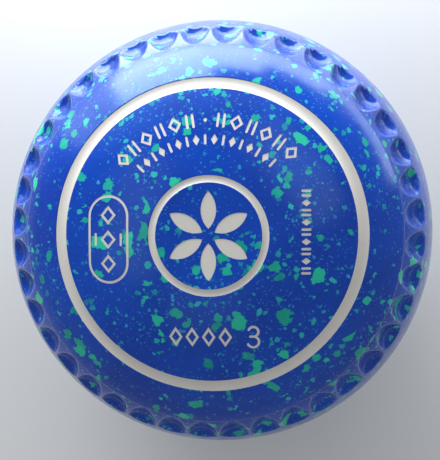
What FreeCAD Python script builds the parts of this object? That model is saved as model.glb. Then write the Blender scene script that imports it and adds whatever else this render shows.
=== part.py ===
"""Lawn bowl, size 3: one solid moulding with enamel run into the engraving on both sides.

Frame: the rolling axis is Z and the bias side is down. The origin is the centre of the flat
disc that the bowl rests on, and +Y is the top of the marks on the upper, non-bias side.
Lengths are in millimetres.

Each side is drawn in its own side frame: the rolling axis is Z, the side's centre disc is
towards +Z, and Z = 0 is the crown plane, where the bowl is widest. to_bowl() then puts it in
the bowl's frame, and turns the bias side half a turn about Y.
"""
import FreeCAD, Part
import math
import os
from collections import namedtuple

# ---- driving dimensions -------------------------------------------------------------------

CROWN_RADIUS = 61.0           # half the running diameter of a size 3 bowl, 4 13/16 in
SOLE_ARC = 60.0               # profile arc of the running sole, the same on both sides

# One side of the bowl: how far its dome stands above the crown plane, and its profile arcs.
Side = namedtuple("Side", "pole shoulder_arc face_arc is_down")
OPEN_SIDE = Side(53.3, 40.0, 95.0, False)
BIAS_SIDE = Side(55.6, 45.0, 80.0, True)

FACE_STEP = 0.25              # the face stands this proud of the grip band
STEP_RADIUS = 46.4            # where the face ends and the grip band begins

CENTRE_RING = (12.1, 13.7)    # inner and outer radius; the disc inside it is flat
LARGE_RING = (34.2, 37.0)     # non-bias side
SMALL_RING = (24.4, 26.4)     # bias side
RING_WALL = 0.5               # straight side of a ring's groove, below the face
RING_SAG = 0.12               # how much deeper the groove is along its middle, per its width
RING_ENAMEL = 0.36            # enamel thickness in a ring

DIMPLE_COUNT = 40
DIMPLE_INNER = 46.6           # radii of a dimple's ends, before its scoop is tilted
DIMPLE_OUTER = 53.3
DIMPLE_WIDTH = 6.9            # halfway along
DIMPLE_DEPTH = 1.5
DIMPLE_TILT = 12.0            # how far the scoop dips towards the crown, in degrees
DIMPLE_CROWN_ROUND = 4.2      # axial lengths of the rounded ends of the scoop
DIMPLE_FACE_ROUND = 1.6
DIMPLE_PHASE = 7.875          # first ridge, degrees clockwise from +Y

MARK_DEPTH = 0.6              # depth of an engraved mark
MARK_RECESS = 0.08            # enamel surface below the face
FINE_LINE = 0.6               # stroke width of the marks
DOT_RADIUS = 0.45
CUTTER_ABOVE = 2.0            # how far the cutters reach out over the centre disc
CUTTER_BELOW = 6.0            # and how far down, past the lowest mark on the dome

ROSETTE_RADIUS = 10.1
ROSETTE_PETALS = 6
ROSETTE_EYE = 1.6             # plain disc left at the rosette's centre
PETAL_HALF_WIDTH = 1.75

UPPER_ARC_RADIUS = 26.5
UPPER_ARC_SPAN = (142.5, 41.5)
UPPER_ARC_SLOTS = 13          # the middle one holds a dot
UPPER_LOZENGE = (1.6, 1.95)   # half width and half height
UPPER_BARS = (3.5, 1.4)       # length and spacing of a pair of bars
LOWER_ARC_RADIUS = 21.9
LOWER_ARC_SPAN = (138.3, 46.2)
LOWER_ARC_SLOTS = 17
LOWER_LOZENGE = (0.8, 1.3)
LOWER_BAR = 2.5

STAMP_CENTRE = (-23.3, -0.9)
STAMP_SIZE = (9.9, 20.5)
STAMP_PITCH = 5.6             # spacing of the stamp's three lozenges
STAMP_LOZENGE = (1.9, 2.2)
STAMP_BAR = 3.0               # bars beside the middle lozenge
STAMP_BAR_OFFSET = 3.1

TALLY_CENTRE = (22.0, 0.9)
TALLY_SLOTS = 9
TALLY_PITCH = 2.2
TALLY_LOZENGE = (1.15, 0.8)
TALLY_BARS = (2.3, 1.1)       # length and spacing of a pair of bars

SIZE_MARK_RADIUS = 23.2       # how far below the centre the row of the size mark is
SIZE_MARK_RIGHT = 10.1        # how far the numeral stands to the right
SIZE_LOZENGES = 4
BIAS_SIZE_MARK_RADIUS = 19.0
BIAS_SIZE_MARK_RIGHT = 4.8
BIAS_SIZE_LOZENGES = 2
SIZE_LOZENGE = (1.6, 2.4)
SIZE_LOZENGE_PITCH = 3.8
SIZE_GAP = 2.6                # wider space between the lozenges and the numeral
NUMERAL_HEIGHT = 5.5
NUMERAL_BOWLS = (0.235, 0.265)  # radii of the numeral's upper and lower bowls, per its height
NUMERAL_OPENING = 155         # how far round each bowl runs, in degrees
NUMERAL_TONGUE = 0.6          # straight stroke between the bowls, per upper radius

# ---- helpers ------------------------------------------------------------------------------

ORIGIN = FreeCAD.Vector(0, 0, 0)
Z_AXIS = FreeCAD.Vector(0, 0, 1)
Y_AXIS = FreeCAD.Vector(0, 1, 0)


def polar(centre, radius, angle):
    """Point on a circle about centre, a (radius, height) pair, at an angle in radians."""
    return (centre[0] + radius * math.cos(angle), centre[1] + radius * math.sin(angle))


def bearing(centre, point):
    return math.atan2(point[1] - centre[1], point[0] - centre[0])


def in_section(point):
    """A (radius, height) pair as a vector in the XZ half plane."""
    return FreeCAD.Vector(point[0], 0, point[1])


def section_line(start, end):
    return Part.LineSegment(in_section(start), in_section(end)).toShape()


def section_arc(centre, start, end):
    """Arc about centre from start to end, the short way."""
    radius = math.dist(centre, start)
    middle = polar(centre, radius, (bearing(centre, start) + bearing(centre, end)) / 2)
    return Part.Arc(in_section(start), in_section(middle), in_section(end)).toShape()


def revolved(edges, axis_point=ORIGIN, axis=Z_AXIS):
    """Solid of revolution of a closed chain of edges."""
    face = Part.Face(Part.Wire(edges))
    return face.revolve(axis_point, axis, 360)


def to_bowl(side, shape):
    """Put a shape drawn in a side's frame where it belongs in the bowl."""
    placed = shape.copy()
    if side.is_down:
        placed.rotate(ORIGIN, Y_AXIS, 180)
    placed.translate(Z_AXIS * disc_height(BIAS_SIDE))
    return placed


# ---- profile of a side --------------------------------------------------------------------


def arc_centres(side):
    """Centres of a side's sole, shoulder and face arcs, each tangent to the next."""
    sole = (CROWN_RADIUS - SOLE_ARC, 0.0)
    face = (0.0, side.pole - side.face_arc)
    reach_sole = SOLE_ARC - side.shoulder_arc
    reach_face = side.face_arc - side.shoulder_arc
    gap = math.dist(sole, face)
    along = (reach_sole ** 2 - reach_face ** 2 + gap ** 2) / (2 * gap)
    across = math.sqrt(reach_sole ** 2 - along ** 2)
    turn = math.acos(along / math.hypot(along, across))
    shoulder = polar(sole, reach_sole, bearing(sole, face) + turn)
    return sole, shoulder, face


def face_height(side, radius):
    """Height of a side's face over the crown plane, inside the shoulder."""
    face = arc_centres(side)[2]
    return face[1] + math.sqrt((side.face_arc + FACE_STEP) ** 2 - radius ** 2)


def shoulder_height(side, radius, raised):
    """Height of the shoulder, in the grip band or on the raised face."""
    shoulder = arc_centres(side)[1]
    reach = side.shoulder_arc + (FACE_STEP if raised else 0)
    return shoulder[1] + math.sqrt(reach ** 2 - (radius - shoulder[0]) ** 2)


def dome_height(side, radius):
    """Height of the raised face at any radius inside the step."""
    shoulder, face = arc_centres(side)[1:]
    joint = polar(face, side.face_arc + FACE_STEP, bearing(face, shoulder))
    if radius < joint[0]:
        return face_height(side, radius)
    return shoulder_height(side, radius, True)


def disc_height(side):
    return face_height(side, CENTRE_RING[0])


def side_profile(side):
    """Edges of a side's profile from the crown to the rolling axis."""
    sole, shoulder, face = arc_centres(side)
    crown = (CROWN_RADIUS, 0.0)
    sole_end = polar(sole, SOLE_ARC, bearing(sole, shoulder))
    step_foot = (STEP_RADIUS, shoulder_height(side, STEP_RADIUS, False))
    step_top = polar(step_foot, FACE_STEP, bearing(shoulder, step_foot))
    face_end = polar(face, side.face_arc + FACE_STEP, bearing(face, shoulder))
    ring_edge = (CENTRE_RING[1], face_height(side, CENTRE_RING[1]))
    disc_edge = (CENTRE_RING[0], disc_height(side))
    return [
        section_arc(sole, crown, sole_end),
        section_arc(shoulder, sole_end, step_foot),
        section_line(step_foot, step_top),
        section_arc(shoulder, step_top, face_end),
        section_arc(face, face_end, ring_edge),
        section_line(ring_edge, disc_edge),
        section_line(disc_edge, (0.0, disc_height(side))),
    ]


def side_blank(side):
    """Plain half of the bowl, from the crown plane to the side's centre disc."""
    edges = side_profile(side)
    edges.append(section_line((0.0, disc_height(side)), (0.0, 0.0)))
    edges.append(section_line((0.0, 0.0), (CROWN_RADIUS, 0.0)))
    return revolved(edges)


# ---- ring grooves and their enamel --------------------------------------------------------


def ring_frame(side, ring):
    """Edges of a ring's mouth on the face, and the direction into the moulding."""
    inner = (ring[0], dome_height(side, ring[0]))
    outer = (ring[1], dome_height(side, ring[1]))
    inward = bearing(inner, outer) - math.pi / 2
    return inner, outer, inward


def ring_section(side, ring, top, bottom, hollow_top):
    """Solid ring between two depths; its bottom sags, and its top too if hollow_top is true."""
    inner, outer, inward = ring_frame(side, ring)
    sag = RING_SAG * (ring[1] - ring[0])
    centre = ((inner[0] + outer[0]) / 2, (inner[1] + outer[1]) / 2)
    top_inner, top_outer = (polar(p, top, inward) for p in (inner, outer))
    low_inner, low_outer = (polar(p, bottom, inward) for p in (inner, outer))
    low_middle = polar(centre, bottom + sag, inward)
    edges = [
        section_line(top_inner, low_inner),
        Part.Arc(*map(in_section, (low_inner, low_middle, low_outer))).toShape(),
        section_line(low_outer, top_outer),
    ]
    if hollow_top:
        top_middle = polar(centre, top + sag, inward)
        edges.append(Part.Arc(*map(in_section, (top_outer, top_middle, top_inner))).toShape())
    else:
        edges.append(section_line(top_outer, top_inner))
    return revolved(edges)


def ring_groove(side, ring):
    """Cutter for a ring's groove, turned so that its seam isn't on the moulding's."""
    groove = ring_section(side, ring, -CUTTER_ABOVE, RING_WALL, False)
    groove.rotate(ORIGIN, Z_AXIS, 90)
    return groove


def ring_enamel(side, ring):
    return ring_section(side, ring, RING_WALL - RING_ENAMEL, RING_WALL, True)


# ---- grip dimples -------------------------------------------------------------------------


def dimple_cutter(side):
    """Round-ended scoop along the meridian at +X, deeper and wider towards the crown."""
    inner = (DIMPLE_INNER, shoulder_height(side, DIMPLE_INNER, False))
    sole, shoulder = arc_centres(side)[:2]
    outer = (DIMPLE_OUTER, math.sqrt(SOLE_ARC ** 2 - (DIMPLE_OUTER - sole[0]) ** 2))
    along = bearing(inner, outer)
    half_length = math.dist(inner, outer) / 2
    chord_middle = ((inner[0] + outer[0]) / 2, (inner[1] + outer[1]) / 2)
    bulge = side.shoulder_arc - math.dist(shoulder, chord_middle)

    radius = ((DIMPLE_WIDTH / 2) ** 2 + DIMPLE_DEPTH ** 2) / (2 * DIMPLE_DEPTH)
    axis_height = radius - DIMPLE_DEPTH + bulge
    open_share = math.sqrt(1 - (axis_height / radius) ** 2)
    crown_at = half_length - DIMPLE_CROWN_ROUND * open_share
    face_at = DIMPLE_FACE_ROUND * open_share - half_length
    crown_tip = crown_at + DIMPLE_CROWN_ROUND
    face_tip = face_at - DIMPLE_FACE_ROUND
    edges = [
        rounded_end(crown_at, DIMPLE_CROWN_ROUND, radius),
        section_line((crown_at, radius), (face_at, radius)),
        rounded_end(face_at, -DIMPLE_FACE_ROUND, radius),
        section_line((face_tip, 0), (crown_tip, 0)),
    ]
    cutter = revolved(edges, ORIGIN, FreeCAD.Vector(1, 0, 0))
    cutter.translate(Z_AXIS * axis_height)
    cutter.rotate(ORIGIN, Y_AXIS, DIMPLE_TILT - math.degrees(along))
    cutter.translate(in_section(chord_middle))
    return cutter


def rounded_end(start, length, radius):
    """Quarter of an ellipse in the section: from its tip on the X axis to a height of radius."""
    tip, top = in_section((start + length, 0)), in_section((start, radius))
    quarter = Part.ArcOfEllipse(Part.Ellipse(top, tip, in_section((start, 0))), 0, math.pi / 2)
    return quarter.toShape()


def dimple_cutters(side):
    """All the scoops of a side, with a ridge at DIMPLE_PHASE clockwise from +Y."""
    pitch = 360 / DIMPLE_COUNT
    first = 90 - DIMPLE_PHASE - pitch / 2
    master = dimple_cutter(side)
    cutters = []
    for index in range(DIMPLE_COUNT):
        cutter = master.copy()
        cutter.rotate(ORIGIN, Z_AXIS, first - index * pitch)
        cutters.append(cutter)
    return cutters


# ---- plane outlines of the marks ----------------------------------------------------------


def flat(x, y):
    return FreeCAD.Vector(x, y, 0)


def disc(x, y, radius):
    return Part.Face(Part.Wire(Part.Circle(flat(x, y), Z_AXIS, radius).toShape()))


def polygon(points):
    corners = [flat(*point) for point in points]
    return Part.Face(Part.makePolygon(corners + corners[:1]))


def lozenge(x, y, half_width, half_height):
    return polygon([
        (x + half_width, y), (x, y + half_height), (x - half_width, y), (x, y - half_height)])


def open_lozenge(x, y, half_width, half_height, width):
    slope = math.hypot(half_width, half_height)
    inner_width = half_width - width * slope / half_height
    inner_height = half_height - width * slope / half_width
    return lozenge(x, y, half_width, half_height).cut(lozenge(x, y, inner_width, inner_height))


def bar(x, y, length, width, angle=90.0):
    """Straight stroke with round ends, centred on x, y."""
    half = length / 2 - width / 2
    box = polygon([(-half, -width / 2), (half, -width / 2), (half, width / 2), (-half, width / 2)])
    stroke = box.fuse([disc(-half, 0, width / 2), disc(half, 0, width / 2)]).removeSplitter()
    stroke.rotate(ORIGIN, Z_AXIS, angle)
    stroke.translate(flat(x, y))
    return stroke


def arc_stroke(x, y, radius, start, end, width):
    """Curved stroke with round ends, from start to end in degrees, anticlockwise."""
    outer = Part.ArcOfCircle(
        Part.Circle(flat(x, y), Z_AXIS, radius + width / 2), math.radians(start), math.radians(end))
    inner = Part.ArcOfCircle(
        Part.Circle(flat(x, y), Z_AXIS, radius - width / 2), math.radians(start), math.radians(end))
    sides = [
        Part.LineSegment(inner.StartPoint, outer.StartPoint),
        Part.LineSegment(outer.EndPoint, inner.EndPoint),
    ]
    edges = [curve.toShape() for curve in (outer, sides[1], inner, sides[0])]
    sector = Part.Face(Part.Wire(Part.sortEdges(edges)[0]))
    if sector.normalAt(0, 0).z < 0:
        sector.reverse()
    caps = []
    for angle in (start, end):
        at = polar((x, y), radius, math.radians(angle))
        caps.append(disc(at[0], at[1], width / 2))
    return sector.fuse(caps).removeSplitter()


def petal(angle):
    """Lens-shaped petal from the rosette's eye to its tip."""
    root = flat(ROSETTE_EYE, 0)
    tip = flat(ROSETTE_RADIUS, 0)
    middle = (ROSETTE_EYE + ROSETTE_RADIUS) / 2
    sides = [
        Part.Arc(root, flat(middle, PETAL_HALF_WIDTH), tip).toShape(),
        Part.Arc(tip, flat(middle, -PETAL_HALF_WIDTH), root).toShape(),
    ]
    face = Part.Face(Part.Wire(sides))
    face.rotate(ORIGIN, Z_AXIS, angle)
    return face


def rosette():
    return [petal(90 + index * 360 / ROSETTE_PETALS) for index in range(ROSETTE_PETALS)]


def numeral_three(x, y, height, width):
    """The size numeral, drawn as two bowls."""
    upper, lower = ((height - width) * share for share in NUMERAL_BOWLS)
    waist = y + height / 2 - width / 2 - 2 * upper
    tongue = upper * NUMERAL_TONGUE
    return Part.makeCompound([
        arc_stroke(x, waist + upper, upper, -90, NUMERAL_OPENING, width),
        arc_stroke(x, waist - lower, lower, -NUMERAL_OPENING, 90, width),
        bar(x - tongue / 2, waist, tongue + width, width, 0),
    ])


def size_mark(radius, right, lozenges):
    """The numeral at the bottom of the face, with a row of open lozenges before it."""
    shapes = [numeral_three(right, -radius, NUMERAL_HEIGHT, FINE_LINE)]
    for step in range(1, lozenges + 1):
        at = right - SIZE_GAP - step * SIZE_LOZENGE_PITCH
        shapes.append(open_lozenge(at, -radius, *SIZE_LOZENGE, FINE_LINE))
    return shapes


def along_arc(shapes_in_slots, radius, span):
    """Spread the shapes, each slot's drawn about the origin, evenly along an arc."""
    placed = []
    count = len(shapes_in_slots)
    for index, shapes in enumerate(shapes_in_slots):
        angle = span[0] + (span[1] - span[0]) * (index + 0.5) / count
        place = polar((0, 0), radius, math.radians(angle))
        for shape in shapes:
            shape.rotate(ORIGIN, Z_AXIS, angle - 90)
            shape.translate(flat(*place))
            placed.append(shape)
    return placed


def upper_arc():
    """Open lozenges and pairs of upright bars by turns, on both sides of a dot."""
    slots = []
    length, spacing = UPPER_BARS
    for index in range(UPPER_ARC_SLOTS):
        if index == UPPER_ARC_SLOTS // 2:
            slots.append([disc(0, 0, DOT_RADIUS)])
        elif index % 2:
            slots.append([bar(hand * spacing / 2, 0, length, FINE_LINE) for hand in (-1, 1)])
        else:
            slots.append([open_lozenge(0, 0, *UPPER_LOZENGE, FINE_LINE)])
    return along_arc(slots, UPPER_ARC_RADIUS, UPPER_ARC_SPAN)


def lower_arc():
    """Small lozenges and upright bars by turns."""
    slots = []
    for index in range(LOWER_ARC_SLOTS):
        if index % 2:
            slots.append([lozenge(0, 0, *LOWER_LOZENGE)])
        else:
            slots.append([bar(0, 0, LOWER_BAR, FINE_LINE)])
    return along_arc(slots, LOWER_ARC_RADIUS, LOWER_ARC_SPAN)


def stamp_outline(inset):
    width, height = (value - 2 * inset for value in STAMP_SIZE)
    return bar(STAMP_CENTRE[0], STAMP_CENTRE[1], height, width)


def stamp_border():
    return [stamp_outline(0).cut(stamp_outline(FINE_LINE))]


def stamp_marks():
    """Three lozenges up the stamp with a short bar on each side of the middle one."""
    x, y = STAMP_CENTRE
    shapes = []
    for row in (-1, 0, 1):
        shapes.append(open_lozenge(x, y + row * STAMP_PITCH, *STAMP_LOZENGE, FINE_LINE))
    for hand in (-1, 1):
        shapes.append(bar(x + hand * STAMP_BAR_OFFSET, y, STAMP_BAR, FINE_LINE))
    return shapes


def tally():
    """Pairs of short level bars and small lozenges by turns, up the right of the face."""
    x, y = TALLY_CENTRE
    length, spacing = TALLY_BARS
    shapes = []
    for index in range(TALLY_SLOTS):
        at = y + (index - (TALLY_SLOTS - 1) / 2) * TALLY_PITCH
        if index % 2:
            shapes.append(lozenge(x, at, *TALLY_LOZENGE))
        else:
            for hand in (-1, 1):
                shapes.append(bar(x, at + hand * spacing / 2, length, FINE_LINE, 0))
    return shapes


# ---- engraved marks and their enamel ------------------------------------------------------


def prism(outline, low, high):
    """One upright solid over an outline, whose strokes may cross."""
    strokes = [face.extrude(Z_AXIS * (high - low)) for face in outline.Faces]
    solid = strokes[0].fuse(strokes[1:]).removeSplitter() if strokes[1:] else strokes[0]
    solid.translate(Z_AXIS * low)
    return solid


def dome_prism(side, outline):
    """Upright solid that passes right through the dome."""
    return prism(outline, disc_height(side) - CUTTER_BELOW, disc_height(side) + CUTTER_ABOVE)


def face_ball(side, depth):
    """Ball whose surface is the face, taken down by depth."""
    centre = arc_centres(side)[2]
    return Part.makeSphere(side.face_arc + FACE_STEP - depth, in_section(centre))


def dome_pocket(side, outline):
    """Engraving on the domed part of the face."""
    return dome_prism(side, outline).cut(face_ball(side, MARK_DEPTH))


def dome_enamel(side, outline):
    layer = dome_prism(side, outline).common(face_ball(side, MARK_RECESS))
    return layer.cut(face_ball(side, MARK_DEPTH))


def disc_pocket(side, outline):
    """Engraving in the flat centre disc."""
    return prism(outline, disc_height(side) - MARK_DEPTH, disc_height(side) + CUTTER_ABOVE)


def disc_enamel(side, outline):
    return prism(outline, disc_height(side) - MARK_DEPTH, disc_height(side) - MARK_RECESS)


def solids_of(shapes):
    solids = []
    for shape in shapes:
        solids.extend(shape.Solids)
    return solids


# ---- the object ---------------------------------------------------------------------------

RINGS = {
    "large_ring_enamel": (OPEN_SIDE, LARGE_RING),
    "centre_ring_enamel": (OPEN_SIDE, CENTRE_RING),
    "bias_small_ring_enamel": (BIAS_SIDE, SMALL_RING),
    "bias_centre_ring_enamel": (BIAS_SIDE, CENTRE_RING),
}

DISC_MARKS = {
    "rosette_enamel": (OPEN_SIDE, rosette()),
    "bias_rosette_enamel": (BIAS_SIDE, rosette()),
}

DOME_MARKS = {
    "upper_arc_enamel": (OPEN_SIDE, upper_arc()),
    "lower_arc_enamel": (OPEN_SIDE, lower_arc()),
    "stamp_border_enamel": (OPEN_SIDE, stamp_border()),
    "stamp_marks_enamel": (OPEN_SIDE, stamp_marks()),
    "tally_enamel": (OPEN_SIDE, tally()),
    "size_mark_enamel": (
        OPEN_SIDE, size_mark(SIZE_MARK_RADIUS, SIZE_MARK_RIGHT, SIZE_LOZENGES)),
    "bias_size_mark_enamel": (
        BIAS_SIDE, size_mark(BIAS_SIZE_MARK_RADIUS, BIAS_SIZE_MARK_RIGHT, BIAS_SIZE_LOZENGES)),
}


def side_cutters(side):
    """Everything that is taken out of one side of the moulding."""
    cutters = dimple_cutters(side)
    for owner, ring in RINGS.values():
        if owner is side:
            cutters.append(ring_groove(side, ring))
    for marks, pocket in ((DISC_MARKS, disc_pocket), (DOME_MARKS, dome_pocket)):
        for owner, outlines in marks.values():
            if owner is side:
                cutters.extend(pocket(side, outline) for outline in outlines)
    return cutters


def bowl_body():
    """The moulding: both halves in one, dimpled and engraved."""
    halves = []
    for side in (OPEN_SIDE, BIAS_SIDE):
        half = side_blank(side).cut(side_cutters(side))
        halves.append(to_bowl(side, half))
    return halves[0].fuse(halves[1]).removeSplitter()


def enamel_parts():
    """Node name and shape of every enamel fill."""
    for name, (side, ring) in RINGS.items():
        yield name, to_bowl(side, ring_enamel(side, ring))
    for marks, fill in ((DISC_MARKS, disc_enamel), (DOME_MARKS, dome_enamel)):
        for name, (side, outlines) in marks.items():
            solids = solids_of(fill(side, outline) for outline in outlines)
            yield name, to_bowl(side, Part.makeCompound(solids))


def export(name, shape):
    if len(shape.Solids) == 1:
        shape = shape.Solids[0]
    shape.exportStep(os.path.join("parts", name + ".step"))
    print(name, len(shape.Solids), "solids", round(shape.Volume, 2), "mm3", shape.isValid())


os.makedirs("parts", exist_ok=True)
export("bowl_body", bowl_body())
for node, solid in enamel_parts():
    export(node, solid)
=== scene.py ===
"""Lawn bowl, size 3, on a pale floor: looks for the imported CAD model.

Shapes are worked out in millimetres and turned into metres where a mesh is made. Each side of
the bowl is drawn in its own side frame, as in the CAD source: the rolling axis is Z, the centre
disc is towards +Z and Z = 0 is the crown plane. The bias side is then turned over.
"""
from collections import namedtuple

import bpy
import numpy as np
from mathutils import Matrix, Vector
from mathutils.geometry import delaunay_2d_cdt


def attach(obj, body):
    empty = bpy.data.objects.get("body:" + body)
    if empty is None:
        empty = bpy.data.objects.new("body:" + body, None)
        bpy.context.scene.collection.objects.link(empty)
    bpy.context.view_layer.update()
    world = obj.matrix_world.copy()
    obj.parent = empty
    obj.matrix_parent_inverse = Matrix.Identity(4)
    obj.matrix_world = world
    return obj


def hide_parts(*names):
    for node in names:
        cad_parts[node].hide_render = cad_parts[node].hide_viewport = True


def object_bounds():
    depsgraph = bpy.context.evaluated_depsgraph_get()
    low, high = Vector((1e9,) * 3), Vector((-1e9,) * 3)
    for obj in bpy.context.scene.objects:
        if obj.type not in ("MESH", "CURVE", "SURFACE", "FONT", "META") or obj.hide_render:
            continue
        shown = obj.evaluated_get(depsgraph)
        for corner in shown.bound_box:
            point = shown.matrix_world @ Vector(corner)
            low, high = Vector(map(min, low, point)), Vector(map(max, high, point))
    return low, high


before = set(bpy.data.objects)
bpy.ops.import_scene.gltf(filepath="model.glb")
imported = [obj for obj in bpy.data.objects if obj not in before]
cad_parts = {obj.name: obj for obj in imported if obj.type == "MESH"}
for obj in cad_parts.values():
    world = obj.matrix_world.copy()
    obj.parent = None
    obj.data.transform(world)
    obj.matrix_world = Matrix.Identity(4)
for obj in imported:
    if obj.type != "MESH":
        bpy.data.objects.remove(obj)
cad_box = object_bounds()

MM = 0.001

# ---- driving dimensions, millimetres and degrees, the same as the CAD source's -------------

CROWN_RADIUS = 61.0
SOLE_ARC = 60.0
Side = namedtuple("Side", "pole shoulder_arc face_arc ring marks disc_marks is_down")
OPEN_SIDE = Side(
    53.3, 40.0, 95.0, (34.2, 37.0),
    ("upper_arc_enamel", "lower_arc_enamel", "stamp_border_enamel", "stamp_marks_enamel",
     "tally_enamel", "size_mark_enamel"),
    ("rosette_enamel",), False)
BIAS_SIDE = Side(
    55.6, 45.0, 80.0, (24.4, 26.4), ("bias_size_mark_enamel",), ("bias_rosette_enamel",), True)

FACE_STEP = 0.25
STEP_RADIUS = 46.4
CENTRE_RING = (12.1, 13.7)
RING_WALL = 0.5
RING_SAG = 0.12               # per the groove's width
MARK_DEPTH = 0.6

DIMPLE_COUNT = 40
DIMPLE_INNER = 46.6
DIMPLE_OUTER = 53.3
DIMPLE_WIDTH = 6.9
DIMPLE_DEPTH = 1.5
DIMPLE_TILT = 12.0
DIMPLE_CROWN_ROUND = 4.2
DIMPLE_FACE_ROUND = 1.6
DIMPLE_PHASE = 7.875

# ---- how finely the moulding is meshed, and how soft its edges are -------------------------

COARSE = 480                  # columns round the plain parts
FINE = 2 * COARSE             # columns round the grip band
CELL = FINE // DIMPLE_COUNT   # columns in one dimple's share of the band
BAND_ROWS = 27
BAND_OUTER = 54.3             # radius where the grip band's fine mesh ends
SOLE_ROWS = 11
FACE_GRID = 2.2               # spacing of the points on the faces
STEP_ROUND = 0.3              # width of the step at the edge of the face
LIP_ROUND = 0.16              # rounding along the mouths of the ring grooves
LIP_TURNS = (30, 60, 90)      # degrees turned so far at each ring of a rounded lip
DIMPLE_ROUND = 0.34           # softening along the edges of the dimples
HALVINGS = 50                 # steps of the search for a slope
NORMAL_REACH = 2e-4           # radians to each side, over which the band's normals are taken

# ---- profile of a side ---------------------------------------------------------------------


def polar(centre, radius, angle):
    return centre + radius * np.array([np.cos(angle), np.sin(angle)])


def bearing(centre, point):
    return np.arctan2(point[1] - centre[1], point[0] - centre[0])


def arc_centres(side):
    """Centres of a side's sole, shoulder and face arcs, each tangent to the next."""
    sole = np.array([CROWN_RADIUS - SOLE_ARC, 0.0])
    face = np.array([0.0, side.pole - side.face_arc])
    reach_sole = SOLE_ARC - side.shoulder_arc
    reach_face = side.face_arc - side.shoulder_arc
    gap = np.linalg.norm(face - sole)
    along = (reach_sole ** 2 - reach_face ** 2 + gap ** 2) / (2 * gap)
    across = np.sqrt(reach_sole ** 2 - along ** 2)
    shoulder = polar(sole, reach_sole, bearing(sole, face) + np.arctan2(across, along))
    return sole, shoulder, face


def outline(side, slope, raised):
    """Point of a side's outline whose normal stands at slope, in radians, over the crown plane.

    raised is how much of the face's step to add, from 0 to 1.
    """
    sole, shoulder, face = arc_centres(side)
    slope = np.asarray(slope, float)
    on_sole = slope < bearing(sole, shoulder)
    on_face = slope > bearing(face, shoulder)
    reach = np.where(on_sole, SOLE_ARC, np.where(on_face, side.face_arc, side.shoulder_arc))
    reach = reach + FACE_STEP * raised
    centre_r = np.where(on_sole, sole[0], np.where(on_face, face[0], shoulder[0]))
    centre_h = np.where(on_sole, sole[1], np.where(on_face, face[1], shoulder[1]))
    return centre_r + reach * np.cos(slope), centre_h + reach * np.sin(slope)


def slope_at(side, radius, raised):
    """Slope of the outline's normal at a radius, by halving the interval."""
    radius = np.asarray(radius, float)
    low = np.zeros_like(radius)
    high = np.full_like(radius, np.pi / 2)
    for _ in range(HALVINGS):
        middle = (low + high) / 2
        outside = outline(side, middle, raised)[0] > radius
        low = np.where(outside, middle, low)
        high = np.where(outside, high, middle)
    return (low + high) / 2


def face_surface(side, radius):
    """Height and normal slope of the raised face."""
    slope = slope_at(side, radius, 1.0)
    return outline(side, slope, 1.0)[1], slope


def disc_height(side):
    return float(face_surface(side, CENTRE_RING[0])[0])


def smooth_step(value):
    value = np.clip(value, 0, 1)
    return value * value * (3 - 2 * value)


# ---- mesh under construction ---------------------------------------------------------------


class Shell:
    """Vertices in the bowl's frame and faces with a normal at every corner, in millimetres."""

    def __init__(self):
        self.points = []
        self.count = 0
        self.faces = []
        self.normals = []
        self.side = None

    def _placed(self, vectors):
        """Turn side-frame vectors into the bowl's frame, without moving them."""
        if self.side.is_down:
            return vectors * np.array([-1.0, 1.0, -1.0])
        return vectors

    def add(self, points):
        """Add side-frame points and return their numbers."""
        placed = self._placed(points) + np.array([0, 0, disc_height(BIAS_SIDE)])
        numbers = np.arange(self.count, self.count + len(placed))
        self.points.append(placed)
        self.count += len(placed)
        return numbers

    def patch(self, corners, normals):
        """Add faces: an (n, k) array of numbers and an (n, k, 3) array of corner normals."""
        self.faces.append(corners)
        self.normals.append(self._placed(normals))

    def strip(self, inner, outer, inner_normals, outer_normals):
        """Quads between two closed rings of the same length."""
        following = np.roll(np.arange(len(inner)), -1)
        corners = np.stack([inner, outer, outer[following], inner[following]], 1)
        normals = np.stack([
            inner_normals, outer_normals, outer_normals[following], inner_normals[following]], 1)
        self.patch(corners, normals)

    def make(self, name):
        """The finished mesh object, in metres."""
        mesh = bpy.data.meshes.new(name)
        mesh.vertices.add(self.count)
        mesh.vertices.foreach_set("co", (np.vstack(self.points) * MM).astype(np.float32).ravel())
        corners = np.concatenate([block.ravel() for block in self.faces])
        sizes = np.concatenate([np.full(len(block), block.shape[1]) for block in self.faces])
        mesh.loops.add(len(corners))
        mesh.loops.foreach_set("vertex_index", corners.astype(np.int32))
        mesh.polygons.add(len(sizes))
        starts = np.concatenate([[0], np.cumsum(sizes)[:-1]])
        mesh.polygons.foreach_set("loop_start", starts.astype(np.int32))
        mesh.update(calc_edges=True)
        mesh.validate(verbose=False)
        mesh.shade_smooth()
        mesh.normals_split_custom_set(
            np.concatenate([block.reshape(-1, 3) for block in self.normals]))
        piece = bpy.data.objects.new(name, mesh)
        bpy.context.scene.collection.objects.link(piece)
        return piece


def column_angles():
    """Angles of the coarse columns; the first ridge between dimples is on one of them."""
    ridge = np.radians(90 - DIMPLE_PHASE)
    return ridge + np.arange(COARSE) * 2 * np.pi / COARSE


def around(radius, height, angles):
    angles = np.asarray(angles)
    return np.stack([
        radius * np.cos(angles), radius * np.sin(angles), height + 0 * angles], -1)


def ring_points(shell, radius, height):
    return shell.add(around(radius, height, column_angles()))


def lean(slope):
    """Normals of a ring whose profile normal stands at slope."""
    angles = column_angles()
    return np.stack([
        np.cos(slope) * np.cos(angles), np.cos(slope) * np.sin(angles),
        np.sin(slope) + 0 * angles], -1)


# ---- ring grooves --------------------------------------------------------------------------

Ring = namedtuple("Ring", "numbers slope")


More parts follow.
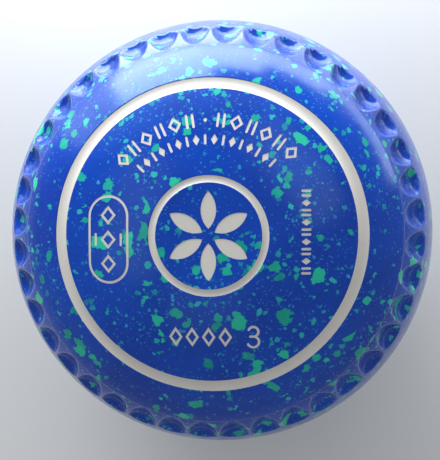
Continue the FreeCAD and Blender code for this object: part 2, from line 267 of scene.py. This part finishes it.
def lip(shell, corner, away, out):
    """Rings round a groove's rounded edge, down from the face, each with its turn so far.

    away points from the groove along the face, and out points out of the moulding.
    """
    rounded = []
    for turn in np.radians(LIP_TURNS):
        at = corner + LIP_ROUND * (away * (1 - np.sin(turn)) - out * (1 - np.cos(turn)))
        rounded.append((ring_points(shell, at[0], at[1]), turn))
    return rounded


def groove(shell, side, mouth, inner_edge, outer_edge):
    """Groove of an enamelled ring, with rounded lips, between two rings already on the face."""
    inner_height = disc_height(side) if mouth is CENTRE_RING else face_surface(side, mouth[0])[0]
    inner = np.array([mouth[0], float(inner_height)])
    outer = np.array([mouth[1], float(face_surface(side, mouth[1])[0])])
    tilt = bearing(inner, outer)
    up = tilt + np.pi / 2
    along = polar(0, 1, tilt)
    out = polar(0, 1, up)

    foot_inner = inner - out * RING_WALL
    foot_outer = outer - out * RING_WALL
    floor = (foot_inner + foot_outer) / 2 - out * RING_SAG * (mouth[1] - mouth[0])
    feet = [ring_points(shell, *at) for at in (foot_inner, floor, foot_outer)]
    descent = [inner_edge]
    descent += [Ring(numbers, up - turn) for numbers, turn in lip(shell, inner, -along, out)]
    descent.append(Ring(feet[0], tilt))
    climb = [outer_edge]
    climb += [Ring(numbers, up + turn) for numbers, turn in lip(shell, outer, along, out)]
    climb.append(Ring(feet[2], tilt + np.pi))
    for run in (descent, [Ring(numbers, up) for numbers in feet], climb[::-1]):
        for first, second in zip(run, run[1:]):
            shell.strip(first.numbers, second.numbers, lean(first.slope), lean(second.slope))


# ---- faces, with the engraved marks cut into them ------------------------------------------

TOP_FACING = 0.7              # least upward part of the normal of a mark's top faces
PLACE_DIGITS = 4              # decimals of a millimetre to which two corners are one
MERGE_DISTANCE = 1e-5
ALL_TRIANGLES = 0             # the triangulation's output type


def mark_loops(node, side):
    """Closed outlines of a mark's enamel in the side's frame, read off its CAD node."""
    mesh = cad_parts[node].data
    flip = -1.0 if side.is_down else 1.0
    keys = {}
    edges = {}
    for polygon in mesh.polygons:
        if polygon.normal.z * flip < TOP_FACING:
            continue
        ids = []
        for index in polygon.vertices:
            x, y, _ = mesh.vertices[index].co
            key = (round(x * flip / MM, PLACE_DIGITS), round(y / MM, PLACE_DIGITS))
            ids.append(keys.setdefault(key, len(keys)))
        for a, b in zip(ids, ids[1:] + ids[:1]):
            if (b, a) in edges:
                del edges[(b, a)]
            else:
                edges[(a, b)] = True
    # An edge shared by two faces has gone, so only the outlines are left.
    places = list(keys)
    following = dict(edges.keys())
    loops = []
    while following:
        start = next(iter(following))
        loop = [start]
        step = following.pop(start)
        while step != start:
            loop.append(step)
            step = following.pop(step)
        loops.append(anticlockwise([places[index] for index in loop]))
    return loops


def anticlockwise(loop):
    x, y = np.array(loop).T
    turned = np.dot(x, np.roll(y, -1)) - np.dot(y, np.roll(x, -1)) < 0
    return loop[::-1] if turned else loop


def face_grid(inner, outer):
    """Points spread over the ring between two radii."""
    points = []
    rows = max(2, round((outer - inner) / FACE_GRID))
    for row in range(rows):
        radius = inner + (outer - inner) * (row + 0.5) / rows
        count = max(6, round(2 * np.pi * radius / FACE_GRID))
        angles = (np.arange(count) + 0.5 * (row % 2)) * 2 * np.pi / count
        points.extend(zip(radius * np.cos(angles), radius * np.sin(angles)))
    return points


def zone_plan(side, rims, marks):
    """Points to triangulate, and the loops among them: the rims first, then the marks."""
    angles = column_angles()
    outlines = [
        list(zip(ring.radius * np.cos(angles), ring.radius * np.sin(angles))) for ring in rims]
    for node in marks:
        outlines.extend(mark_loops(node, side))
    points = []
    loops = []
    for places in outlines:
        loops.append(list(range(len(points), len(points) + len(places))))
        points.extend(places)
    hole = rims[1].radius if len(rims) > 1 else 0
    points.extend(face_grid(hole, rims[0].radius))
    return [Vector(point) for point in points], loops


def sort_triangles(triangles, inside, rim_count):
    """Triangles on the face, and those in the marks, from the loops that each lies inside.

    The first loop is the zone's outer rim, and the second of two rims bounds its hole.
    """
    on_face = []
    in_mark = []
    for triangle, owners in zip(triangles, inside):
        if 0 not in owners or (rim_count > 1 and 1 in owners):
            continue
        depth = sum(owner >= rim_count for owner in owners)
        (in_mark if depth % 2 else on_face).append(triangle)
    return np.array(on_face), np.array(in_mark)


def face_zone(shell, side, rims, marks, surface):
    """Face inside an outer rim, and outside an inner one if given, with the marks engraved.

    surface(radius) gives the height and the normal's slope.
    """
    flat, loops = zone_plan(side, rims, marks)
    places, _, triangles, _, _, inside = delaunay_2d_cdt(
        flat, [], loops, ALL_TRIANGLES, MERGE_DISTANCE)
    on_face, in_mark = sort_triangles(triangles, inside, len(rims))

    plan = np.array([tuple(place) for place in places])
    height, slope = surface(np.hypot(plan[:, 0], plan[:, 1]))
    angle = np.arctan2(plan[:, 1], plan[:, 0])
    normals = np.stack([
        np.cos(slope) * np.cos(angle), np.cos(slope) * np.sin(angle), np.sin(slope)], -1)

    top = np.full(len(plan), -1)
    for ring in rims:
        ring_plan = around(ring.radius, 0, column_angles())[:, :2]
        for number, place in zip(ring.numbers, ring_plan):
            match = np.argmin(np.abs(plan - place).sum(1))
            top[match] = number
    solid = np.column_stack([plan, height])
    used = np.unique(on_face)
    fresh = used[top[used] < 0]
    top[fresh] = shell.add(solid[fresh])
    shell.patch(top[on_face], normals[on_face])
    if len(in_mark):
        engrave(shell, in_mark, solid, normals, top)


def engrave(shell, triangles, solid, normals, top):
    """Floors and upright walls of the pockets under the given triangles."""
    used = np.unique(triangles)
    floor = np.full(len(solid), -1)
    floor[used] = shell.add(solid[used] - np.array([0, 0, MARK_DEPTH]))
    shell.patch(floor[triangles], normals[triangles])
    edges = np.vstack([triangles[:, [0, 1]], triangles[:, [1, 2]], triangles[:, [2, 0]]])
    known = {tuple(edge) for edge in edges}
    rim = np.array([edge for edge in edges if (edge[1], edge[0]) not in known])
    run = solid[rim[:, 1]] - solid[rim[:, 0]]
    left = np.column_stack([-run[:, 1], run[:, 0], np.zeros(len(run))])
    left /= np.linalg.norm(left, axis=1)[:, None]
    corners = np.stack([
        floor[rim[:, 1]], floor[rim[:, 0]], top[rim[:, 0]], top[rim[:, 1]]], 1)
    shell.patch(corners, np.repeat(left[:, None], 4, 1))


# ---- grip band -----------------------------------------------------------------------------

Scoop = namedtuple("Scoop", "middle along out radius axis crown_at face_at")


def scoop_of(side):
    """A side's dimple, drawn in the section through its middle.

    along and out are the scoop's own directions there, towards the crown and out of the
    moulding, and lengths are measured from the point middle. The scoop is part of a round bar
    of that radius. axis is how far out the bar's axis lies, and crown_at and face_at are where
    its two rounded ends start along it.
    """
    inner = np.array(outline(side, slope_at(side, DIMPLE_INNER, 0), 0))
    outer = np.array(outline(side, slope_at(side, DIMPLE_OUTER, 0), 0))
    along = (outer - inner) / np.linalg.norm(outer - inner)
    out = np.array([-along[1], along[0]])
    middle = (inner + outer) / 2
    bulge = side.shoulder_arc - np.linalg.norm(middle - arc_centres(side)[1])
    radius = ((DIMPLE_WIDTH / 2) ** 2 + DIMPLE_DEPTH ** 2) / (2 * DIMPLE_DEPTH)
    axis = radius - DIMPLE_DEPTH + bulge
    open_share = np.sqrt(1 - (axis / radius) ** 2)
    half_length = np.linalg.norm(outer - inner) / 2
    crown_at = half_length - DIMPLE_CROWN_ROUND * open_share
    face_at = DIMPLE_FACE_ROUND * open_share - half_length
    dip = np.radians(DIMPLE_TILT)
    dipped = along * np.cos(dip) - out * np.sin(dip)
    dipped_out = along * np.sin(dip) + out * np.cos(dip)
    return Scoop(middle, dipped, dipped_out, radius, axis, crown_at, face_at)


def band_surface(side, slope, angle):
    """Side-frame points of the grip band: the plain outline with the dimples pressed in."""
    step_slope = slope_at(side, STEP_RADIUS, 0)
    raised = smooth_step((slope - step_slope) * side.shoulder_arc / STEP_ROUND + 0.5)
    radius, height = outline(side, slope, raised)
    pitch = 2 * np.pi / DIMPLE_COUNT
    ridge = np.radians(90 - DIMPLE_PHASE)
    middle_angle = ridge + (np.floor((angle - ridge) / pitch) + 0.5) * pitch
    offset = angle - middle_angle

    scoop = scoop_of(side)
    ahead = radius * np.cos(offset)
    across = radius * np.sin(offset)
    past_middle = ahead - scoop.middle[0]
    over_middle = height - scoop.middle[1]
    x = past_middle * scoop.along[0] + over_middle * scoop.along[1]
    z = past_middle * scoop.out[0] + over_middle * scoop.out[1]
    past = np.maximum(x - scoop.crown_at, 0) / DIMPLE_CROWN_ROUND
    past += np.maximum(scoop.face_at - x, 0) / DIMPLE_FACE_ROUND
    reach = scoop.radius ** 2 * (1 - past ** 2) - across ** 2
    floor = np.where(reach > 0, scoop.axis - np.sqrt(np.maximum(reach, 0)), scoop.axis)
    blend = np.maximum(DIMPLE_ROUND - np.abs(z - floor), 0) / DIMPLE_ROUND
    pressed = np.minimum(z, floor) - blend ** 2 * DIMPLE_ROUND / 4
    ahead = ahead + (pressed - z) * scoop.out[0]
    height = height + (pressed - z) * scoop.out[1]
    turn_cos, turn_sin = np.cos(middle_angle), np.sin(middle_angle)
    return np.stack([
        ahead * turn_cos - across * turn_sin, ahead * turn_sin + across * turn_cos, height], -1)


def band_normals(side, slope, angle):
    """Normals of the grip band, from the surface close by on each side."""
    above = band_surface(side, slope + NORMAL_REACH, angle)
    below = band_surface(side, slope - NORMAL_REACH, angle)
    after = band_surface(side, slope, angle + NORMAL_REACH)
    before = band_surface(side, slope, angle - NORMAL_REACH)
    normal = np.cross(after - before, above - below)
    return normal / np.linalg.norm(normal, axis=-1)[..., None]


def band_columns(radius):
    """Angles of the fine columns at a radius: even across each dimple, closer on its ridges."""
    pitch = 2 * np.pi / DIMPLE_COUNT
    share = np.arange(CELL) / (CELL / 2) - 1
    dimple_share = 0.8
    half = np.arcsin(DIMPLE_WIDTH / 2 / radius)
    ridge = pitch / 2 - half
    size = np.where(
        np.abs(share) < dimple_share, half * np.abs(share) / dimple_share,
        half + ridge * (np.abs(share) - dimple_share) / (1 - dimple_share))
    cell = pitch / 2 + np.sign(share) * size
    starts = np.radians(90 - DIMPLE_PHASE) + np.arange(DIMPLE_COUNT) * pitch
    return (starts[:, None] + cell[None]).ravel()


def stitch(shell, coarse, fine, coarse_normals, fine_normals, outward):
    """Triangles between a coarse ring and a fine one with twice its columns."""
    here = np.arange(len(coarse))
    after = np.roll(here, -1)
    numbers = [coarse, fine]
    leans = [coarse_normals, fine_normals]
    fans = [
        ((0, here), (1, 2 * here), (1, 2 * here + 1)),
        ((0, here), (1, 2 * here + 1), (0, after)),
        ((0, after), (1, 2 * here + 1), (1, (2 * here + 2) % len(fine))),
    ]
    for fan in fans:
        order = fan if outward else fan[::-1]
        shell.patch(
            np.stack([numbers[which][index] for which, index in order], 1),
            np.stack([leans[which][index] for which, index in order], 1))


def grip_band(shell, side, inner):
    """The band of dimples, from the ring inside it to the one where the plain sole starts."""
    first = float(inner.slope)
    last = float(slope_at(side, BAND_OUTER, 0))
    slopes = first + (last - first) * np.arange(1, BAND_ROWS) / BAND_ROWS
    previous = None
    for slope in slopes:
        angle = band_columns(float(outline(side, slope, 0)[0]))
        numbers = shell.add(band_surface(side, slope, angle))
        normals = band_normals(side, slope, angle)
        if previous is None:
            stitch(shell, inner.numbers, numbers, lean(inner.slope), normals, True)
        else:
            shell.strip(previous[0], numbers, previous[1], normals)
        previous = (numbers, normals)
    radius, height = outline(side, last, 0)
    outer = Ring(ring_points(shell, float(radius), float(height)), last)
    stitch(shell, outer.numbers, previous[0], lean(last), previous[1], False)
    return outer


# ---- the moulding --------------------------------------------------------------------------

Rim = namedtuple("Rim", "numbers slope radius")


def rim(shell, side, radius, surface):
    height, slope = surface(np.array(radius))
    return Rim(ring_points(shell, radius, float(height)), float(slope), radius)


def half_moulding(shell, side, crown):
    """One side of the moulding, from its centre disc out to the crown ring of numbers."""
    shell.side = side

    def disc(radius):
        flat = np.zeros_like(radius)
        return flat + disc_height(side), flat + np.pi / 2

    def dome(radius):
        return face_surface(side, radius)

    disc_rim = rim(shell, side, CENTRE_RING[0] - LIP_ROUND, disc)
    face_inner = rim(shell, side, CENTRE_RING[1] + LIP_ROUND, dome)
    face_outer = rim(shell, side, side.ring[0] - LIP_ROUND, dome)
    shoulder_inner = rim(shell, side, side.ring[1] + LIP_ROUND, dome)
    face_zone(shell, side, [disc_rim], side.disc_marks, disc)
    groove(shell, side, CENTRE_RING, disc_rim, face_inner)
    face_zone(shell, side, [face_outer, face_inner], side.marks, dome)
    groove(shell, side, side.ring, face_outer, shoulder_inner)

    band_start = STEP_RADIUS - 2 * STEP_ROUND
    rows = round((band_start - shoulder_inner.radius) / FACE_GRID)
    previous = shoulder_inner
    for row in range(rows):
        share = (row + 1) / rows
        radius = shoulder_inner.radius + (band_start - shoulder_inner.radius) * share
        ring = rim(shell, side, radius, dome)
        shell.strip(previous.numbers, ring.numbers, lean(previous.slope), lean(ring.slope))
        previous = ring
    previous = grip_band(shell, side, previous)

    start = previous.slope
    for row in range(SOLE_ROWS):
        slope = start * (1 - (row + 1) / SOLE_ROWS)
        if row == SOLE_ROWS - 1:
            numbers = crown
        else:
            radius, height = outline(side, slope, 0)
            numbers = ring_points(shell, float(radius), float(height))
        shell.strip(previous.numbers, numbers, lean(previous.slope), lean(slope))
        previous = Ring(numbers, slope)


def moulding():
    """The whole bowl without its enamel."""
    shell = Shell()
    shell.side = OPEN_SIDE
    crown = ring_points(shell, CROWN_RADIUS, 0.0)
    half_moulding(shell, OPEN_SIDE, crown)
    # The bias side is turned over, so its columns meet the crown's in the opposite order.
    order = np.array([
        np.argmin(np.abs(np.angle(np.exp(1j * (column_angles() - angle)))))
        for angle in np.pi - column_angles()])
    half_moulding(shell, BIAS_SIDE, crown[order])
    return shell.make("moulding")


# ---- materials -----------------------------------------------------------------------------


class Nodes:
    """Short names for making and joining shader nodes."""

    def __init__(self, name):
        self.material = bpy.data.materials.new(name)
        self.material.use_nodes = True
        self.tree = self.material.node_tree
        self.tree.nodes.clear()

    def node(self, kind, **settings):
        made = self.tree.nodes.new(kind)
        for key, value in settings.items():
            setattr(made, key, value)
        return made

    def put(self, socket, value):
        if isinstance(value, bpy.types.NodeSocket):
            self.tree.links.new(value, socket)
        else:
            socket.default_value = value

    def math(self, operation, *values):
        made = self.node("ShaderNodeMath", operation=operation)
        for socket, value in zip(made.inputs, values):
            self.put(socket, value)
        return made.outputs[0]

    def vector(self, operation, *values):
        made = self.node("ShaderNodeVectorMath", operation=operation)
        for socket, value in zip(made.inputs, values):
            self.put(socket, value)
        return made.outputs[0]

    def noise(self, place, scale, detail, roughness, colour=False):
        made = self.node("ShaderNodeTexNoise")
        self.put(made.inputs["Vector"], place)
        made.inputs["Scale"].default_value = scale
        made.inputs["Detail"].default_value = detail
        made.inputs["Roughness"].default_value = roughness
        return made.outputs["Color" if colour else "Fac"]

    def range(self, value, between, to=(0.0, 1.0)):
        """Value carried smoothly from one range to another."""
        made = self.node("ShaderNodeMapRange", interpolation_type="SMOOTHSTEP")
        for socket, item in zip(made.inputs, (value, *between, *to)):
            self.put(socket, item)
        return made.outputs[0]

    def mix(self, share, first, second):
        made = self.node("ShaderNodeMix", data_type="RGBA")
        colours = [socket for socket in made.inputs if socket.type == "RGBA"]
        self.put(made.inputs["Factor"], share)
        self.put(colours[0], first)
        self.put(colours[1], second)
        return [socket for socket in made.outputs if socket.type == "RGBA"][0]

    def place_mm(self):
        """The point on the object, in millimetres."""
        where = self.node("ShaderNodeTexCoord").outputs["Object"]
        scaled = self.node("ShaderNodeVectorMath", operation="SCALE")
        self.put(scaled.inputs[0], where)
        scaled.inputs["Scale"].default_value = 1 / MM
        return scaled.outputs[0]

    def finish(self, bsdf, height=None, distance=0.0):
        if height is not None:
            bump = self.node("ShaderNodeBump")
            bump.inputs["Distance"].default_value = distance
            self.put(bump.inputs["Height"], height)
            self.put(bsdf.inputs["Normal"], bump.outputs[0])
        output = self.node("ShaderNodeOutputMaterial")
        self.put(output.inputs["Surface"], bsdf.outputs[0])
        return self.material


def linear(red, green, blue):
    """A display colour, 0 to 255, as the shader's linear colour."""
    values = [value / 255 for value in (red, green, blue)]
    return tuple(
        value / 12.92 if value <= 0.04045 else ((value + 0.055) / 1.055) ** 2.4
        for value in values) + (1.0,)


RESIN_IOR = 1.5
RESIN_GLOSS_TINT = (0.62, 0.92, 1.0, 1)
RESIN_RIPPLE = 0.004 * MM
ENAMEL_IOR = 1.48
ENAMEL_RIPPLE = 0.02 * MM

FLAKE_BEND = 1.5              # how far the noise moves a flake's edge, per its size
FLAKE_RAGGEDNESS = 0.9        # waves of that noise across a flake
FLAKE_EDGE = (0.5, 0.56)      # distances from the cell's point between which a flake ends
FLAKE_SHIFT = (37.0, 11.0)    # from one size's pattern to the next one's, in x and y

# A size of flake in mm, its share of the surface, how opaque it is, and its range of colours.
Flake = namedtuple("Flake", "size share cover dark light")
FLAKES = (
    Flake(0.42, 0.08, 0.5, linear(24, 100, 195), linear(70, 160, 215)),
    Flake(0.8, 0.04, 0.7, linear(14, 116, 180), linear(50, 180, 200)),
    Flake(1.4, 0.055, 0.9, linear(6, 128, 155), linear(40, 188, 180)),
    Flake(2.3, 0.07, 0.95, linear(2, 136, 134), linear(34, 190, 160)),
    Flake(3.6, 0.055, 1.0, linear(4, 146, 132), linear(34, 194, 160)),
)


def flakes(nodes, place, size, share, seed):
    """Mask of broken flakes about size mm across, and a shade that differs between them.

    share is how much of the surface they cover. Each is a cell of a Voronoi pattern, whose
    edges are bent by noise as large as the flake and by finer noise.
    """
    bend = nodes.noise(
        place, scale=FLAKE_RAGGEDNESS / size, detail=4.0, roughness=0.62, colour=True)
    bend = nodes.vector("SUBTRACT", bend, (0.5, 0.5, 0.5))
    bend = nodes.vector("MULTIPLY", bend, (FLAKE_BEND * size,) * 3)
    shift = (FLAKE_SHIFT[0] * seed, FLAKE_SHIFT[1] * seed, 0)
    moved = nodes.vector("ADD", nodes.vector("ADD", place, bend), shift)
    cells = nodes.node("ShaderNodeTexVoronoi", voronoi_dimensions="3D", feature="F1")
    nodes.put(cells.inputs["Vector"], moved)
    cells.inputs["Scale"].default_value = 1 / size
    lot = nodes.node("ShaderNodeSeparateColor")
    nodes.put(lot.inputs[0], cells.outputs["Color"])
    near = nodes.range(cells.outputs["Distance"], FLAKE_EDGE, to=(1.0, 0.0))
    chosen = nodes.math("LESS_THAN", lot.outputs[0], share)
    return nodes.math("MULTIPLY", chosen, near), lot.outputs[2]


def resin():
    """Polished royal blue melamine with turquoise flakes of many sizes moulded in."""
    nodes = Nodes("speckled_resin")
    place = nodes.place_mm()
    cloud = nodes.noise(place, scale=0.03, detail=3.0, roughness=0.55)
    grain = nodes.noise(place, scale=0.8, detail=4.0, roughness=0.6)
    crowd = nodes.range(
        nodes.noise(place, scale=0.05, detail=2.0, roughness=0.5), (0.4, 0.62), to=(0.5, 1.6))
    colour = nodes.mix(nodes.range(cloud, (0.4, 0.62)), linear(0, 52, 162), linear(0, 64, 178))
    colour = nodes.mix(nodes.range(grain, (0.5, 0.8), to=(0, 0.3)), colour, linear(14, 90, 200))
    for seed, layer in enumerate(FLAKES):
        amount = nodes.math("MULTIPLY", crowd, layer.share)
        mask, shade = flakes(nodes, place, layer.size, amount, seed)
        tint = nodes.mix(shade, layer.dark, layer.light)
        tint = nodes.mix(nodes.range(grain, (0.4, 0.75), to=(0, 0.4)), tint, layer.light)
        colour = nodes.mix(nodes.math("MULTIPLY", mask, layer.cover), colour, tint)
    bsdf = nodes.node("ShaderNodeBsdfPrincipled")
    nodes.put(bsdf.inputs["Base Color"], colour)
    rub = nodes.noise(place, scale=0.25, detail=5.0, roughness=0.65)
    nodes.put(bsdf.inputs["Roughness"], nodes.range(rub, (0.3, 0.75), to=(0.17, 0.25)))
    bsdf.inputs["IOR"].default_value = RESIN_IOR
    bsdf.inputs["Specular Tint"].default_value = RESIN_GLOSS_TINT
    ripple = nodes.noise(place, scale=0.5, detail=2.0, roughness=0.5)
    return nodes.finish(bsdf, ripple, RESIN_RIPPLE)


def enamel():
    """Off-white enamel, brushed into the engraving and wiped."""
    nodes = Nodes("enamel")
    place = nodes.place_mm()
    patch = nodes.noise(place, scale=0.16, detail=4.0, roughness=0.6)
    fine = nodes.noise(place, scale=2.2, detail=4.0, roughness=0.65)
    colour = nodes.mix(patch, linear(220, 215, 208), linear(210, 206, 199))
    dirt = nodes.range(fine, (0.5, 0.8), to=(0, 0.35))
    colour = nodes.mix(dirt, colour, linear(194, 189, 183))
    bsdf = nodes.node("ShaderNodeBsdfPrincipled")
    nodes.put(bsdf.inputs["Base Color"], colour)
    nodes.put(bsdf.inputs["Roughness"], nodes.range(fine, (0.2, 0.8), to=(0.38, 0.55)))
    bsdf.inputs["IOR"].default_value = ENAMEL_IOR
    brushing = nodes.noise(place, scale=1.3, detail=3.0, roughness=0.55)
    return nodes.finish(bsdf, brushing, ENAMEL_RIPPLE)


# ---- stage, light and camera ---------------------------------------------------------------

FLOOR_RADIUS = 6.0            # metres
FLOOR_SIDES = 96
FLOOR_TOP = -0.05 * MM        # just clear of the disc that the bowl rests on
FLOOR_SHADE = (0.63, 0.63, 0.63, 1)
FLOOR_ROUGHNESS = 0.8

WINDOW_DISTANCE = 0.5         # metres from the bowl
FOOT_DISTANCE = 0.18          # near enough for the low panels to stand clear of the floor
CEILING_DISTANCE = 0.9
LAMP_COLOUR = (0.94, 0.98, 1.0)
SURROUND_COLOUR = (0.93, 0.96, 1.0, 1)
SURROUND_STRENGTH = 0.4

# A window beyond the bowl that steps down to the right, with two low panels at its foot and a
# faint glow over it, and three panels on the ceiling. Each light spans its two ranges of
# angles as seen from the bowl, in degrees, with azimuths anticlockwise from +X.
Panel = namedtuple("Panel", "name azimuths elevations distance radiance")
PANELS = (
    Panel("window_left", (128, 150), (-11, 20), WINDOW_DISTANCE, 2.0),
    Panel("window", (94, 128), (-11, 24), WINDOW_DISTANCE, 9.2),
    Panel("window_step", (76, 94), (-11, 12), WINDOW_DISTANCE, 8.2),
    Panel("window_low", (54, 76), (-11, 3), WINDOW_DISTANCE, 6.0),
    Panel("window_side", (16, 54), (-11, -3), WINDOW_DISTANCE, 4.2),
    Panel("window_foot", (84, 124), (-34, -15), FOOT_DISTANCE, 4.6),
    Panel("window_foot_side", (42, 84), (-34, -15), FOOT_DISTANCE, 1.7),
    Panel("window_glow", (60, 146), (27, 44), WINDOW_DISTANCE, 0.65),
    Panel("ceiling_left", (132, 206), (47, 66), CEILING_DISTANCE, 0.6),
    Panel("ceiling_right", (8, 72), (44, 62), CEILING_DISTANCE, 0.85),
    Panel("ceiling_front", (232, 284), (50, 74), CEILING_DISTANCE, 0.25),
)

# The camera's place and aim are in millimetres from the middle of the crown plane.
CAMERA_PLACE = (11.68, 5.14, 199.6)
CAMERA_AIM = (-0.62, 0.01, 0.0)
CAMERA_SENSOR = 36.0          # along the picture's long side
CAMERA_CLIP = 0.005
LONG_SIDE = 460               # of the picture, in pixels
FOCAL_PIXELS = 656.6


def add_floor():
    """Round floor, so its horizon is level from every side."""
    mesh = bpy.data.meshes.new("floor")
    turns = np.linspace(0, 2 * np.pi, FLOOR_SIDES, endpoint=False)
    edge = [
        (FLOOR_RADIUS * np.cos(turn), FLOOR_RADIUS * np.sin(turn), FLOOR_TOP) for turn in turns]
    mesh.from_pydata(edge, [], [range(len(edge))])
    plane = bpy.data.objects.new("floor", mesh)
    bpy.context.scene.collection.objects.link(plane)
    nodes = Nodes("floor_paint")
    bsdf = nodes.node("ShaderNodeBsdfPrincipled")
    bsdf.inputs["Base Color"].default_value = FLOOR_SHADE
    bsdf.inputs["Roughness"].default_value = FLOOR_ROUGHNESS
    mesh.materials.append(nodes.finish(bsdf))


def add_panel(panel, centre):
    """Soft rectangular light that faces the bowl."""
    turn, rise = np.radians([sum(panel.azimuths) / 2, sum(panel.elevations) / 2])
    half_width, half_height = np.radians([
        (last - first) / 2 for first, last in (panel.azimuths, panel.elevations)])
    toward = Vector((np.cos(rise) * np.cos(turn), np.cos(rise) * np.sin(turn), np.sin(rise)))
    data = bpy.data.lights.new(panel.name, "AREA")
    data.shape = "RECTANGLE"
    data.size = 2 * panel.distance * np.tan(half_width) * np.cos(rise)
    data.size_y = 2 * panel.distance * np.tan(half_height)
    data.energy = 4 * panel.radiance * data.size * data.size_y
    data.color = LAMP_COLOUR
    lamp = bpy.data.objects.new(panel.name, data)
    bpy.context.scene.collection.objects.link(lamp)
    lamp.visible_camera = False
    lamp.location = centre + toward * panel.distance
    lamp.rotation_mode = "QUATERNION"
    lamp.rotation_quaternion = (-toward).to_track_quat("-Z", "Y")


def add_surround():
    """Even light from all round."""
    world = bpy.data.worlds.new("surround")
    world.use_nodes = True
    background = world.node_tree.nodes["Background"]
    background.inputs["Color"].default_value = SURROUND_COLOUR
    background.inputs["Strength"].default_value = SURROUND_STRENGTH
    bpy.context.scene.world = world


def add_camera(crown):
    """Close camera above the face, a little to the right of the rolling axis."""
    data = bpy.data.cameras.new("camera")
    data.sensor_fit = "AUTO"
    data.sensor_width = CAMERA_SENSOR
    data.lens = FOCAL_PIXELS / LONG_SIDE * CAMERA_SENSOR
    data.clip_start = CAMERA_CLIP
    viewer = bpy.data.objects.new("camera", data)
    bpy.context.scene.collection.objects.link(viewer)
    place = crown + Vector(CAMERA_PLACE) * MM
    aim = crown + Vector(CAMERA_AIM) * MM
    back = (place - aim).normalized()
    right = Vector((0, 1, 0)).cross(back).normalized()
    up = back.cross(right)
    turn = Matrix((right, up, back)).transposed().to_4x4()
    viewer.matrix_world = Matrix.Translation(place) @ turn
    bpy.context.scene.camera = viewer


# ---- scene ---------------------------------------------------------------------------------

body = moulding()
body.data.materials.append(resin())
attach(body, "root")
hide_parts("bowl_body")

paint = enamel()
for name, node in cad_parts.items():
    if name.endswith("_enamel"):
        node.data.materials.clear()
        node.data.materials.append(paint)

crown_centre = Vector((0, 0, disc_height(BIAS_SIDE) * MM))
face_centre = Vector((0, 0, cad_box[1][2]))
add_floor()
for light in PANELS:
    add_panel(light, face_centre)
add_surround()
add_camera(crown_centre)
bpy.context.scene.view_settings.view_transform = "Standard"
